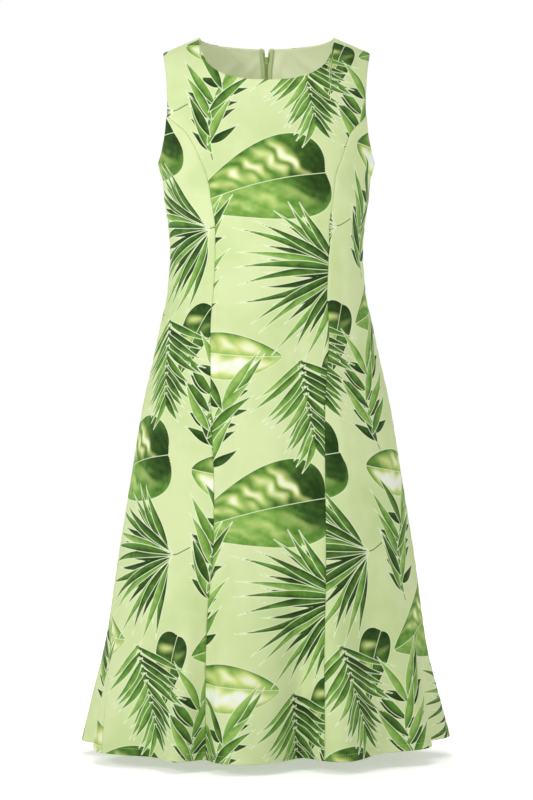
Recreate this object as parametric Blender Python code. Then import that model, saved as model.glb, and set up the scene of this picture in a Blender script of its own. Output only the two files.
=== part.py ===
"""Sleeveless princess-line dress, filled out as it is worn, with nobody in it.

Frame: metres, +Z up, the front faces -Y, +X is the wearer's left. The origin lies between the two neck points,
at the height where the shoulders carry the dress. Every table and size below is in millimetres and degrees.

Each cut piece is a wall of cloth: a flat slab of columns and rows that is bent onto one common form, so that
neighbouring pieces keep the same line along the seam that they share.
"""

import math

import bmesh
import bpy
import numpy as np

MM = 0.001

# --- Driving sizes ---
DRESS_LENGTH = 1167  # neck point to hem
CLOTH = 1.2  # thickness of a wall of cloth
SEAM_INSET = 0.2  # each piece stops this far short of its seam
NECK_HALF = 110  # centre to neck point
SHOULDER_HALF = 171  # centre to shoulder tip
SHOULDER_DROP = 26  # neck point down to shoulder tip
SHOULDER_ROLL = 115  # height over which the cloth turns over the shoulder
FRONT_NECK_DROP = 82
FRONT_NECK_FULLNESS = 2.6
BACK_NECK_DROP = 10
BACK_NECK_FULLNESS = 2.2
UNDERARM = -211  # height of the foot of the armhole
SEAM_START = -137  # height where the princess seams leave the armhole
BUST_LINE = -269
HEM_LIFT_LEFT, HEM_LIFT_RIGHT = 13, 3  # the hem rises this much towards the sides

# --- The form, level by level: half width, depth before and behind the side seams, how square the section is,
# --- and how far behind the origin the side line sits.
LEVEL_COLUMNS = ("height", "half_width", "front", "back", "square", "set_back")
LEVELS = (
    (0, 200, 92, 84, 2.3, 8),
    (-26, 196, 96, 88, 2.3, 8),
    (-60, 192, 101, 92, 2.3, 7),
    (-117, 186, 112, 100, 2.3, 4),
    (-160, 182, 124, 104, 2.3, 1),
    (-190, 180, 131, 105, 2.3, 0),
    (-211, 178.6, 135, 105, 2.3, 0),
    (-236, 170.8, 138, 104, 2.3, 0),
    (-269, 167.5, 138, 102, 2.3, 0),
    (-302, 162.5, 132, 98, 2.25, 0),
    (-330, 160, 123, 94, 2.2, 0),
    (-360, 159, 116, 92, 2.15, 0),
    (-401, 161.7, 117, 98, 2.1, 0),
    (-434, 165, 122, 108, 2.1, 0),
    (-467, 173, 128, 120, 2.1, 0),
    (-533, 187, 140, 142, 2.05, 0),
    (-599, 202, 150, 156, 2.0, 0),
    (-731, 224, 168, 176, 2.0, 0),
    (-863, 245, 186, 194, 2.0, 0),
    (-995, 263, 205, 212, 2.0, 0),
    (-1094, 283, 223, 228, 2.0, 0),
    (-1167, 296, 238, 242, 2.0, 0),
)

# --- Seam lines round the form, in degrees from centre front towards the wearer's left, or from centre back.
SEAM_COLUMNS = ("height", "front_left", "front_right", "side_left", "side_right", "back")
SEAMS = (
    (-137, 60.5, 60.5, 90, 90, 60.5),
    (-163, 47.6, 45, 90, 90, 46),
    (-190, 42.5, 37.5, 90, 90, 40),
    (-208, 40, 34, 90, 90, 37.5),
    (-235, 37, 30.5, 90, 90, 35),
    (-269, 35.5, 28, 90, 90, 33),
    (-302, 36, 28, 90, 90, 31.5),
    (-360, 38, 29.8, 90, 90, 30.5),
    (-434, 35.5, 30.5, 90, 90, 30),
    (-500, 33, 29.2, 90, 90, 29),
    (-599, 27.9, 26.2, 90, 90, 27),
    (-731, 24.8, 22, 90, 90, 25),
    (-838, 23, 20.8, 90, 90, 24),
    (-930, 21.4, 22, 91, 85, 23),
    (-995, 20.4, 22.3, 92, 77, 22.5),
    (-1061, 19.6, 21.8, 92, 68, 22),
    (-1167, 18.5, 21, 93, 61, 21),
)

# --- Edge of the armhole: distance from the centre at each height.
ARMHOLE_COLUMNS = ("height", "out")
ARMHOLE = (
    (0, 172),
    (-26, 171),
    (-60, 166),
    (-90, 163.5),
    (-117, 162.5),
    (-150, 164),
    (-175, 167),
    (-195, 171.5),
    (-206, 175.6),
    (-211, 178.6),
)

# --- Flutes of the hem: where each is centred, its width on either side, how far it stands out of the form (or
# --- falls into it) at the hem, and the height where it starts.
FLUTE_COLUMNS = ("name", "angle", "narrow", "wide", "out", "top")
FLUTES = (
    ("centre swell", -8, 8, 9, 8, -760),
    ("right seam valley", -21.5, 4, 4.5, -38, -790),
    ("right flute", -28.5, 6, 6, 16, -800),
    ("right flat", -41, 9, 9, -20, -860),
    ("right corner", -63, 8, 8, 8, -900),
    ("right side valley", -84, 7, 7, -34, -930),
    ("right back flute", -101, 9, 11, 17, -800),
    ("left valley", 13.5, 10, 4.6, -62, -690),
    ("left flute", 25, 5.5, 8, 12, -700),
    ("left flat", 42, 10, 10, -26, -820),
    ("left crest", 60, 7, 7, 6, -880),
    ("left side valley", 75, 7, 7, -24, -900),
    ("left side flute", 97, 10, 9, 14, -1000),
    ("left back valley", 117, 8, 8, -34, -850),
    ("left back flute", 135, 9, 9, 14, -820),
    ("left back seam valley", 155, 6, 7, -34, -780),
    ("back swell", 170, 7, 7, 10, -800),
    ("back valley", -173, 7, 7, -30, -830),
    ("back flute", -158, 8, 8, 12, -800),
    ("right back valley", -139, 8, 8, -34, -840),
    ("right back crest", -121, 8, 8, 8, -880),
)
FLUTE_SWING = 1.5  # power with which a flute grows down the skirt

CUP_OUT, CUP_HALF, CUP_HEIGHT, CUP_WIDE, CUP_TALL = 9, 92, -262, 50, 48

# --- Rows and columns of the walls ---
LOWER_ROWS = (
    -1167, -1130, -1085, -1030, -965, -895, -820, -745, -670, -599, -533, -480, -434, -398, -360, -325, -297, -269,
)
MIDDLE_ROWS = 6  # bust line up to the armhole
TOP_ROWS = 8  # start of the princess seams up to neck and shoulder
TOP_SPACING = 1.6  # power that sets the top rows closer together towards the neck
LIFTED_ROWS = 4
LIFT_SPREAD = 2  # power with which the lift of the hem grows towards the side, and fades up the rows
STRAP_COLUMNS = 4
NECK_COLUMNS = 7
SIDE_COLUMNS = 16

# --- The zip down the centre back ---
ZIP_SPREAD_COLUMNS = ("height", "half_gap")
ZIP_SPREAD = ((0, 3.6), (-10, 3.4), (-18, 2.8), (-28, 1.9), (-35, 0.9), (-44, 0), (-1167, 0))
ZIP_FOOT = -570
FACING_CLOTH = 1.0
LAYER_GAP = 0.4  # between layers that lie on each other
TAPE_GAP = 0.8
TAPE_CLOTH = 0.9
TAPE_WIDTH = 7
TAPE_CLEAR = 2.4  # edge of the cloth to edge of the tape
TAPE_RISE = 2.5  # the tape ends stand up past the neck edge
TAPE_STEP = (SEAM_START - 25, SEAM_START - 3)  # heights between which the tape climbs onto the facing
COIL_HALF, COIL_THICK = 1.5, 1.8
COIL_TOP = -33
SLIDER_HEIGHT = -25

COLOURS = {  # linear base colour, roughness, metallic
    "printed_cotton": ((0.55, 0.70, 0.31), 0.75, 0.0),
    "plain_lining": ((0.50, 0.60, 0.28), 0.70, 0.0),
    "zip_tape": ((0.42, 0.50, 0.20), 0.80, 0.0),
    "zip_coil": ((0.30, 0.38, 0.12), 0.45, 0.0),
    "painted_zip_metal": ((0.46, 0.56, 0.26), 0.35, 0.6),
}


# ---------------------------------------------------------------- curves through a table

def curve(knots, values):
    """A smooth curve through the knots that never swings past them."""
    order = np.argsort(knots)
    x, y = np.array(knots, float)[order], np.array(values, float)[order]
    step, rise = np.diff(x), np.diff(y) / np.diff(x)
    slope = np.concatenate([rise[:1], (rise[1:] + rise[:-1]) / 2, rise[-1:]])
    flat = rise[1:] * rise[:-1] <= 0
    slope[1:-1][flat] = 0
    limit = 3 * np.minimum(np.abs(np.append(rise, rise[-1])), np.abs(np.insert(rise, 0, rise[0])))
    slope = np.clip(slope, -limit, limit)

    def at(where):
        where = np.clip(where, x[0], x[-1])
        k = np.clip(np.searchsorted(x, where) - 1, 0, len(step) - 1)
        t = (where - x[k]) / step[k]
        return (
            y[k] * (1 + 2 * t) * (1 - t) ** 2
            + y[k + 1] * t * t * (3 - 2 * t)
            + step[k] * (slope[k] * t * (1 - t) ** 2 + slope[k + 1] * t * t * (t - 1))
        )

    return at


def columns_of(names, rows):
    """One curve over height for each named column of a table."""
    heights = [row[0] for row in rows]
    return {name: curve(heights, [row[i] for row in rows]) for i, name in enumerate(names) if i}


level = columns_of(LEVEL_COLUMNS, LEVELS)
seam = columns_of(SEAM_COLUMNS, SEAMS)
armhole = columns_of(ARMHOLE_COLUMNS, ARMHOLE)
zip_spread = columns_of(ZIP_SPREAD_COLUMNS, ZIP_SPREAD)
flutes = [dict(zip(FLUTE_COLUMNS, row)) for row in FLUTES]


# ---------------------------------------------------------------- the form

def angle_at(out, z):
    """Degrees from the centre line to a point this far from it, at height z."""
    share = np.clip(np.abs(out) / level["half_width"](z), 0, 1)
    return np.degrees(np.arcsin(share ** (level["square"](z) / 2)))


def armhole_angle(z):
    return angle_at(armhole["out"](z), z)


def shoulder_line(x):
    return -SHOULDER_DROP * (np.abs(x) - NECK_HALF) / (SHOULDER_HALF - NECK_HALF)


def flute_out(angle, z):
    """How far the flutes push the cloth out at an angle and a height."""
    out = np.zeros(np.broadcast(angle, z).shape)
    for f in flutes:
        away = (angle - f["angle"] + 180) % 360 - 180
        wide = np.where(away < 0, f["narrow"], f["wide"])
        grown = np.clip((f["top"] - z) / (f["top"] + DRESS_LENGTH), 0, 1) ** FLUTE_SWING
        out += f["out"] * grown * np.exp(-((away / wide) ** 2))
    return out


def form(angle, z):
    """Outer face of the cloth, at an angle from centre front and a height."""
    s, c = np.sin(np.radians(angle)), np.cos(np.radians(angle))
    half, power = level["half_width"](z), 2 / level["square"](z)
    deep = np.where(c > 0, level["front"](z), level["back"](z))
    x = half * np.sign(s) * np.abs(s) ** power
    over = np.clip((shoulder_line(x) - z) / SHOULDER_ROLL, 0, 1)
    y = level["set_back"](z) - np.sign(c) * deep * np.sqrt(1 - (1 - over) ** 2) * np.abs(c) ** power
    across, ahead = s / half, -c / deep
    far = np.hypot(across, ahead)
    cup = np.exp(-(((np.abs(x) - CUP_HALF) / CUP_WIDE) ** 2) - ((z - CUP_HEIGHT) / CUP_TALL) ** 2)
    out = flute_out(angle, z) + np.where(c > 0, CUP_OUT * cup, 0)
    return np.stack([x + out * across / far, y + out * ahead / far, z + 0 * x], -1)


def unit(vectors):
    return vectors / np.linalg.norm(vectors, axis=-1, keepdims=True)


def outward(angle, z):
    """Direction out of the form, the same for both pieces at a seam."""
    near_angle, near_z = 0.2, 0.3
    across = form(angle + near_angle, z) - form(angle - near_angle, z)
    return unit(np.cross(across, form(angle, z) - form(angle, z - near_z)))


def front_neckline(x):
    share = np.clip(np.abs(x) / NECK_HALF, 0, 1)
    return -FRONT_NECK_DROP * (1 - share**FRONT_NECK_FULLNESS) ** (1 / FRONT_NECK_FULLNESS)


def back_neckline(x):
    return -BACK_NECK_DROP * (1 - np.clip(np.abs(x) / NECK_HALF, 0, 1) ** BACK_NECK_FULLNESS)


def top_edge(neckline):
    """Height of neck and shoulder over a distance from the centre."""
    return lambda x: np.where(np.abs(x) < NECK_HALF, neckline(x), shoulder_line(x))


# ---------------------------------------------------------------- cut pieces

MIDDLE = len(LOWER_ROWS) - 1
CHEST = MIDDLE + MIDDLE_ROWS
TOP = CHEST + TOP_ROWS


class Piece:
    """A cut piece between two lines of the form. Across runs 0 to 1 with the angle, up counts rows."""

    def __init__(self, low, high, top=None):
        self.low, self.high, self.top = low, high, top

    def angle(self, across, z):
        low, high = self.low(z), self.high(z)
        return low + (high - low) * across

    def settle(self, across, edge):
        """Height where this column meets an edge that depends on the angle or the distance out."""
        low, high = np.full(np.shape(across), float(UNDERARM)), np.full(np.shape(across), 0.0)
        for _ in range(40):
            middle = (low + high) / 2
            above = edge(self.angle(across, middle), middle)
            low, high = np.where(above, low, middle), np.where(above, middle, high)
        return (low + high) / 2

    def chest(self, across):
        if self.top is not None:
            return np.full(np.shape(across), float(SEAM_START))
        found = self.settle(across, lambda angle, z: np.abs(np.sin(np.radians(angle)))
                            >= np.sin(np.radians(armhole_angle(z))))
        return np.clip(found, UNDERARM, SEAM_START)

    def height(self, across, up):
        aside = np.sin(np.radians(self.angle(across, -DRESS_LENGTH)))
        lifted = np.where(aside > 0, HEM_LIFT_LEFT, HEM_LIFT_RIGHT) * aside**LIFT_SPREAD
        z = np.interp(up, range(len(LOWER_ROWS)), LOWER_ROWS)
        z = z + lifted * np.clip(1 - up / LIFTED_ROWS, 0, 1) ** LIFT_SPREAD
        chest = self.chest(across)
        z = np.where(up > MIDDLE, BUST_LINE + (chest - BUST_LINE) * (up - MIDDLE) / MIDDLE_ROWS, z)
        if self.top is None:
            return z
        peak = self.settle(across, lambda angle, h: h > self.top(form(angle, h)[..., 0]))
        left = np.clip((TOP - up) / TOP_ROWS, 0, 1) ** TOP_SPACING
        return np.where(up > CHEST, peak - (peak - chest) * left, z)

    def point(self, across, up):
        z = self.height(across, up)
        return form(self.angle(across, z), z)

    def walls(self, across, up, depths):
        """Points of the piece at each depth below its outer face, drawn in a little from its edges."""
        u, v = np.meshgrid(across, up)
        near = 1e-3
        side = unit(self.point(np.minimum(u + near, 1), v) - self.point(np.maximum(u - near, 0), v))
        rise = unit(self.point(u, np.minimum(v + near, up[-1])) - self.point(u, np.maximum(v - near, up[0])))
        at = self.point(u, v)
        out = outward(self.angle(u, self.height(u, v)), at[..., 2])
        at += SEAM_INSET * side * (1.0 * (u == across[0]) - 1.0 * (u == across[-1]))[..., None]
        at += SEAM_INSET * rise * (1.0 * (v == up[0]) - 1.0 * (v == up[-1]))[..., None]
        return [at - depth * out for depth in depths]


def zip_edge(z):
    return angle_at(zip_spread["half_gap"](z), z)


def edge_or_armhole(name):
    """A princess seam, and the armhole above the place where the seam leaves it."""
    return lambda z: np.where(z > SEAM_START, armhole_angle(z), seam[name](z))


front_left, front_right = edge_or_armhole("front_left"), edge_or_armhole("front_right")
back_seam = edge_or_armhole("back")
FRONT_TOP, BACK_TOP = top_edge(front_neckline), top_edge(back_neckline)

PIECES = {
    "front_centre": Piece(lambda z: -front_right(z), front_left, FRONT_TOP),
    "side_front_left": Piece(seam["front_left"], seam["side_left"]),
    "side_back_left": Piece(seam["side_left"], lambda z: 180 - seam["back"](z)),
    "back_left": Piece(lambda z: 180 - back_seam(z), lambda z: 180 - zip_edge(z), BACK_TOP),
    "back_right": Piece(lambda z: 180 + zip_edge(z), lambda z: 180 + back_seam(z), BACK_TOP),
    "side_back_right": Piece(lambda z: 180 + seam["back"](z), lambda z: 360 - seam["side_right"](z)),
    "side_front_right": Piece(lambda z: -seam["side_right"](z), lambda z: -seam["front_right"](z)),
}

neck_share = float(angle_at(NECK_HALF, 0) / armhole_angle(0))
half_front = np.concatenate([
    neck_share * np.sin(np.linspace(0, math.pi / 2, NECK_COLUMNS + 1)),
    np.linspace(neck_share, 1, STRAP_COLUMNS + 1)[1:],
])


def columns_across(name):
    """Where the columns of a piece run, with one on each neck point and one down the centre front."""
    if name == "front_centre":
        return np.concatenate([0.5 - half_front[::-1] / 2, 0.5 + half_front[1:] / 2])
    if name == "back_right":
        return half_front
    if name == "back_left":
        return 1 - half_front[::-1]
    return np.linspace(0, 1, SIDE_COLUMNS + 1)


# ---------------------------------------------------------------- Blender objects

def material(name):
    found = bpy.data.materials.get(name)
    if found is None:
        colour, roughness, metallic = COLOURS[name]
        found = bpy.data.materials.new(name)
        found.use_nodes = True
        shader = found.node_tree.nodes["Principled BSDF"]
        shader.inputs["Base Color"].default_value = (*colour, 1)
        shader.inputs["Roughness"].default_value = roughness
        shader.inputs["Metallic"].default_value = metallic
    return found


def add_object(name, data, finish):
    obj = bpy.data.objects.new(name, data)
    bpy.context.scene.collection.objects.link(obj)
    data.materials.append(material(finish))
    return obj


def wall(name, layers, finish):
    """A closed wall: a flat slab, one cell for each column and row, bent so that its faces follow both layers."""
    rows, columns = layers[0].shape[:2]
    bm = bmesh.new()
    bmesh.ops.create_grid(bm, x_segments=columns - 1, y_segments=rows - 1, size=0.5)
    top = bmesh.ops.extrude_face_region(bm, geom=bm.faces[:], use_keep_orig=True)["geom"]
    bmesh.ops.translate(bm, vec=(0, 0, 1), verts=[v for v in top if isinstance(v, bmesh.types.BMVert)])
    for v in bm.verts:
        column, row = round((v.co.x + 0.5) * (columns - 1)), round((v.co.y + 0.5) * (rows - 1))
        v.co = layers[round(v.co.z)][row][column] * MM
    bmesh.ops.recalc_face_normals(bm, faces=bm.faces[:])
    if bm.calc_volume(signed=True) < 0:
        bmesh.ops.reverse_faces(bm, faces=bm.faces[:])
    mesh = bpy.data.meshes.new(name)
    bm.to_mesh(mesh)
    bm.free()
    mesh.shade_smooth()
    mesh.set_sharp_from_angle(angle=math.radians(50))
    return add_object(name, mesh, finish)


def add_cloth():
    for name, piece in PIECES.items():
        rows = np.arange((CHEST if piece.top is None else TOP) + 1.0)
        wall(name, piece.walls(columns_across(name), rows, (0, CLOTH)), "printed_cotton")


def add_back_facing():
    """Plain cloth inside the back, from the start of the princess seams up to neck and shoulder."""
    inner = CLOTH + LAYER_GAP
    for side in ("left", "right"):
        name = "back_" + side
        rows = np.arange(CHEST, TOP + 1.0)
        layers = PIECES[name].walls(columns_across(name), rows, (inner, inner + FACING_CLOTH))
        wall("facing_" + name, layers, "plain_lining")


def centre_back(x, z, depth):
    """A point this far from the centre back line, at a depth below the outer face."""
    angle = 180 - np.sign(x) * angle_at(x, z)
    return form(angle, z) - depth * outward(angle, z)


def tape_depth(z):
    """The tape lies on the cloth, and on the facing from the facing's foot up."""
    on_cloth = CLOTH + TAPE_GAP
    return np.interp(z, TAPE_STEP, (on_cloth, on_cloth + LAYER_GAP + FACING_CLOTH))


def strip(name, inner_edge, outer_edge, heights, thick, finish):
    """A strip along the zip between two lines, each a distance from the centre back over height."""
    share, z = np.meshgrid(np.linspace(0, 1, 3), heights)
    x = inner_edge(z) + (outer_edge(z) - inner_edge(z)) * share
    depth = tape_depth(z)[..., None]
    return wall(name, [centre_back(x, z, depth), centre_back(x, z, depth + thick)], finish)


def add_zip_tapes():
    heights = np.concatenate([
        np.linspace(ZIP_FOOT, TAPE_STEP[0], 16),
        np.linspace(TAPE_STEP[1], -BACK_NECK_DROP + TAPE_RISE, 10),
    ])
    for side, sign in (("left", 1), ("right", -1)):
        strip(
            "zip_tape_" + side,
            lambda z, sign=sign: sign * (zip_spread["half_gap"](z) + TAPE_CLEAR),
            lambda z, sign=sign: sign * (zip_spread["half_gap"](z) + TAPE_CLEAR + TAPE_WIDTH),
            heights,
            TAPE_CLOTH,
            "zip_tape",
        )
    strip(
        "zip_coil",
        lambda z: -COIL_HALF + 0 * z,
        lambda z: COIL_HALF + 0 * z,
        np.append(heights[(heights > ZIP_FOOT) & (heights < COIL_TOP)], COIL_TOP),
        COIL_THICK,
        "zip_coil",
    )


# ---------------------------------------------------------------- slider and pull

SLIDER_HALF, SLIDER_TALL, SLIDER_DEEP = 3.0, 11, 2.2
NECK_BAR_HALF = 1.0
CROWN_OUT, CROWN_THICK = 7.2, 1.2
CROWN_TOP, CROWN_FOOT = 4.2, -4.6
OVERLAP = 0.2  # joined boxes never share a face
NECK_ROOT = 0.6  # how far the neck reaches into the slider's body
EYE_TOP = 1.6
SLIDER_CLEAR = 1.0  # from the facing to the slider's body
SLIDER_DEPTH = CLOTH + LAYER_GAP + FACING_CLOTH + SLIDER_CLEAR
FOOT_CLEAR = 0.5  # from the crown's foot to the face of the cloth
PIVOT_OUT, PIVOT_UP = 5.0, -0.8  # where the pull's bar sits in the eye, from the slider's face
LEAN_SPAN = 5  # the slider's lean is taken over this much cloth above and below it
PULL_THICK = 1.0
PULL_HALF, PULL_TIP, PULL_LONG = 2.5, 3.4, 26.0  # half width at the bar, radius of the round tip, whole length
PULL_BAR, PULL_WAIST, TIP_STEPS = 0.55, 9.0, 12  # bar above the pivot, place where the plate starts to widen
WINDOW_HALF, WINDOW_TOP, WINDOW_FOOT = 1.45, -0.6, -7.2


def box(bm, low, high):
    made = bmesh.ops.create_cube(bm, size=1)["verts"]
    low, high = np.array(low, float), np.array(high, float)
    for v in made:
        v.co = (low + (np.array(v.co) + 0.5) * (high - low)) * MM
    return made


def solid_from_boxes(name, boxes, finish):
    """One body from boxes that overlap, with softened edges."""
    parts = []
    for k, (low, high) in enumerate(boxes):
        bm = bmesh.new()
        box(bm, low, high)
        mesh = bpy.data.meshes.new(f"{name}_{k}")
        bm.to_mesh(mesh)
        bm.free()
        parts.append(mesh)
    body = add_object(name, parts[0], finish)
    for k, mesh in enumerate(parts[1:]):
        helper = bpy.data.objects.new(f"{name}_add_{k}", mesh)
        bpy.context.scene.collection.objects.link(helper)
        helper.hide_render = True
        helper.display_type = "WIRE"
        helper.parent = body
        union = body.modifiers.new(f"union_{k}", "BOOLEAN")
        union.operation = "UNION"
        union.object = helper
    return body


def slider_place():
    """Where the slider's outer face meets the centre back line, and how far the cloth leans there."""
    z = np.array(float(SLIDER_HEIGHT))
    face = centre_back(np.array(1e-3), z, SLIDER_DEPTH)
    low, high = form(np.array(180.0), z - LEAN_SPAN), form(np.array(180.0), z + LEAN_SPAN)
    lean = math.atan2(low[1] - high[1], high[2] - low[2])
    return face, lean


def add_slider():
    """A slim body inside the cloth, a neck that passes between the edges, and a crown outside for the pull.
    In its own axes +Y is out of the back and +Z is up along the zip."""
    crown_in = CROWN_OUT - CROWN_THICK
    foot_in = SLIDER_DEPTH + FOOT_CLEAR
    boxes = (
        ((-SLIDER_HALF, -SLIDER_DEEP, -SLIDER_TALL / 2), (SLIDER_HALF, 0, SLIDER_TALL / 2)),
        ((-NECK_BAR_HALF, -NECK_ROOT, EYE_TOP), (NECK_BAR_HALF, CROWN_OUT, CROWN_TOP)),
        ((-NECK_BAR_HALF, crown_in, CROWN_FOOT), (NECK_BAR_HALF, CROWN_OUT, CROWN_TOP - OVERLAP)),
        ((-NECK_BAR_HALF, foot_in, CROWN_FOOT), (NECK_BAR_HALF, CROWN_OUT - OVERLAP, CROWN_FOOT + CROWN_THICK)),
    )
    slider = solid_from_boxes("zip_slider", boxes, "painted_zip_metal")
    face, lean = slider_place()
    slider.location = face * MM
    slider.rotation_euler = (lean, 0, 0)
    return slider


def pull_outline():
    """Teardrop plate, with Y up and the bar's middle at the origin."""
    ends = [(-PULL_HALF, PULL_BAR), (PULL_HALF, PULL_BAR), (PULL_HALF, -PULL_WAIST)]
    low = -(PULL_LONG - PULL_TIP)
    turns = np.linspace(0, -math.pi, TIP_STEPS + 1)
    arc = [(PULL_TIP * math.cos(t), low + PULL_TIP * math.sin(t)) for t in turns]
    return ends + arc + [(-PULL_HALF, -PULL_WAIST)]


def add_pull(slider):
    """The pull tab: a flat plate with a window that the crown passes through."""
    window = [(-WINDOW_HALF, WINDOW_TOP), (-WINDOW_HALF, WINDOW_FOOT), (WINDOW_HALF, WINDOW_FOOT),
              (WINDOW_HALF, WINDOW_TOP)]
    data = bpy.data.curves.new("zip_pull", "CURVE")
    data.dimensions = "2D"
    data.fill_mode = "BOTH"
    data.extrude = PULL_THICK / 2 * MM
    for outline in (pull_outline(), window):
        spline = data.splines.new("POLY")
        spline.points.add(len(outline) - 1)
        for p, (x, y) in zip(spline.points, outline):
            p.co = (x * MM, y * MM, 0, 1)
        spline.use_cyclic_u = True
    pull = add_object("zip_pull", data, "painted_zip_metal")
    pull.parent = slider
    pull.location = (0, PIVOT_OUT * MM, PIVOT_UP * MM)
    pull.rotation_euler = (math.radians(90), 0, 0)
    return pull


def main():
    for obj in list(bpy.data.objects):
        bpy.data.objects.remove(obj)
    add_cloth()
    add_back_facing()
    add_zip_tapes()
    add_pull(add_slider())


main()
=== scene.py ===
import math
import bmesh
import bpy
import numpy as np
from mathutils import Matrix, Vector


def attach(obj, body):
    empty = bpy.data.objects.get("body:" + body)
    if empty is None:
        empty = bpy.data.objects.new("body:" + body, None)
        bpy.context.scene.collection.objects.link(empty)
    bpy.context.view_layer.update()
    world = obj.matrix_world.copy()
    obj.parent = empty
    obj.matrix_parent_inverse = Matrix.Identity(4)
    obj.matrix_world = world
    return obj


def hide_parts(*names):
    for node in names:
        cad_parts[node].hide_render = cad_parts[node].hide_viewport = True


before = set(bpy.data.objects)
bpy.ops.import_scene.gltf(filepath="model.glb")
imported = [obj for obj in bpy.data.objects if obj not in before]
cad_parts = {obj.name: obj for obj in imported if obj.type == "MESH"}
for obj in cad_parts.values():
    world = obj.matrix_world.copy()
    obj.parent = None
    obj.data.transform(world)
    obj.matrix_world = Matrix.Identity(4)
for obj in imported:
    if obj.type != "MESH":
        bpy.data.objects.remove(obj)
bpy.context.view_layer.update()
mm = 0.001
print("frame loaded")


# ---- the form of the dress, in millimetres: z is height below the neck points, angles run from centre front

formTable = {  # height: half width, depth before and behind the side line, squareness, set back
    0: (200, 92, 84, 2.3, 8), -26: (196, 96, 88, 2.3, 8), -60: (192, 101, 92, 2.3, 7),
    -117: (186, 112, 100, 2.3, 4), -160: (182, 124, 104, 2.3, 1), -190: (180, 131, 105, 2.3, 0),
    -211: (178.6, 135, 105, 2.3, 0), -236: (170.8, 138, 104, 2.3, 0), -269: (167.5, 138, 102, 2.3, 0),
    -302: (162.5, 132, 98, 2.25, 0), -330: (160, 123, 94, 2.2, 0), -360: (159, 116, 92, 2.15, 0),
    -401: (161.7, 117, 98, 2.1, 0), -434: (165, 122, 108, 2.1, 0), -467: (173, 128, 120, 2.1, 0),
    -533: (187, 140, 142, 2.05, 0), -599: (202, 150, 156, 2.0, 0), -731: (224, 168, 176, 2.0, 0),
    -863: (245, 186, 194, 2.0, 0), -995: (263, 205, 212, 2.0, 0), -1094: (283, 223, 228, 2.0, 0),
    -1167: (296, 238, 242, 2.0, 0),
}
seamTable = {  # height: front seam left and right, side seam left and right, back seam, in degrees
    -137: (60.5, 60.5, 90, 90, 60.5), -163: (47.6, 45, 90, 90, 46), -190: (42.5, 37.5, 90, 90, 40),
    -208: (40, 34, 90, 90, 37.5), -235: (37, 30.5, 90, 90, 35), -269: (35.5, 28, 90, 90, 33),
    -302: (36, 28, 90, 90, 31.5), -360: (38, 29.8, 90, 90, 30.5), -434: (35.5, 30.5, 90, 90, 30),
    -500: (33, 29.2, 90, 90, 29), -599: (27.9, 26.2, 90, 90, 27), -731: (24.8, 22, 90, 90, 25),
    -838: (23, 20.8, 90, 90, 24), -930: (21.4, 22, 91, 85, 23), -995: (20.4, 22.3, 92, 77, 22.5),
    -1061: (19.6, 21.8, 92, 68, 22), -1167: (18.5, 21, 93, 61, 21),
}
armholeTable = {
    0: 172, -26: 171, -60: 166, -90: 163.5, -117: 162.5, -150: 164, -175: 167, -195: 171.5, -206: 175.6, -211: 178.6,
}
zipTable = {0: 3.6, -10: 3.4, -18: 2.8, -28: 1.9, -35: 0.9, -44: 0, -1167: 0}
fluteTable = (  # angle, width on either side, how far out at the hem, height where it starts
    (-8, 8, 9, 8, -760), (-21.5, 4, 4.5, -38, -790), (-28.5, 6, 6, 16, -800), (-41, 9, 9, -20, -860),
    (-63, 8, 8, 8, -900), (-84, 7, 7, -34, -930), (-101, 9, 11, 17, -800), (13.5, 10, 4.6, -62, -690),
    (25, 5.5, 8, 12, -700), (42, 10, 10, -26, -820), (60, 7, 7, 6, -880), (75, 7, 7, -24, -900),
    (97, 10, 9, 14, -1000), (117, 8, 8, -34, -850), (135, 9, 9, 14, -820), (155, 6, 7, -34, -780),
    (170, 7, 7, 10, -800), (-173, 7, 7, -30, -830), (-158, 8, 8, 12, -800), (-139, 8, 8, -34, -840),
    (-121, 8, 8, 8, -880),
)
shape = {
    "length": 1167, "neckHalf": 110, "shoulderHalf": 171, "shoulderDrop": 26, "shoulderRoll": 115,
    "frontDrop": 82, "frontFull": 2.6, "backDrop": 10, "backFull": 2.2, "underarm": -211, "seamStart": -137,
    "bust": -269, "hemLiftLeft": 13, "hemLiftRight": 3, "cup": (9, 92, -262, 50, 48),
}
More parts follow.
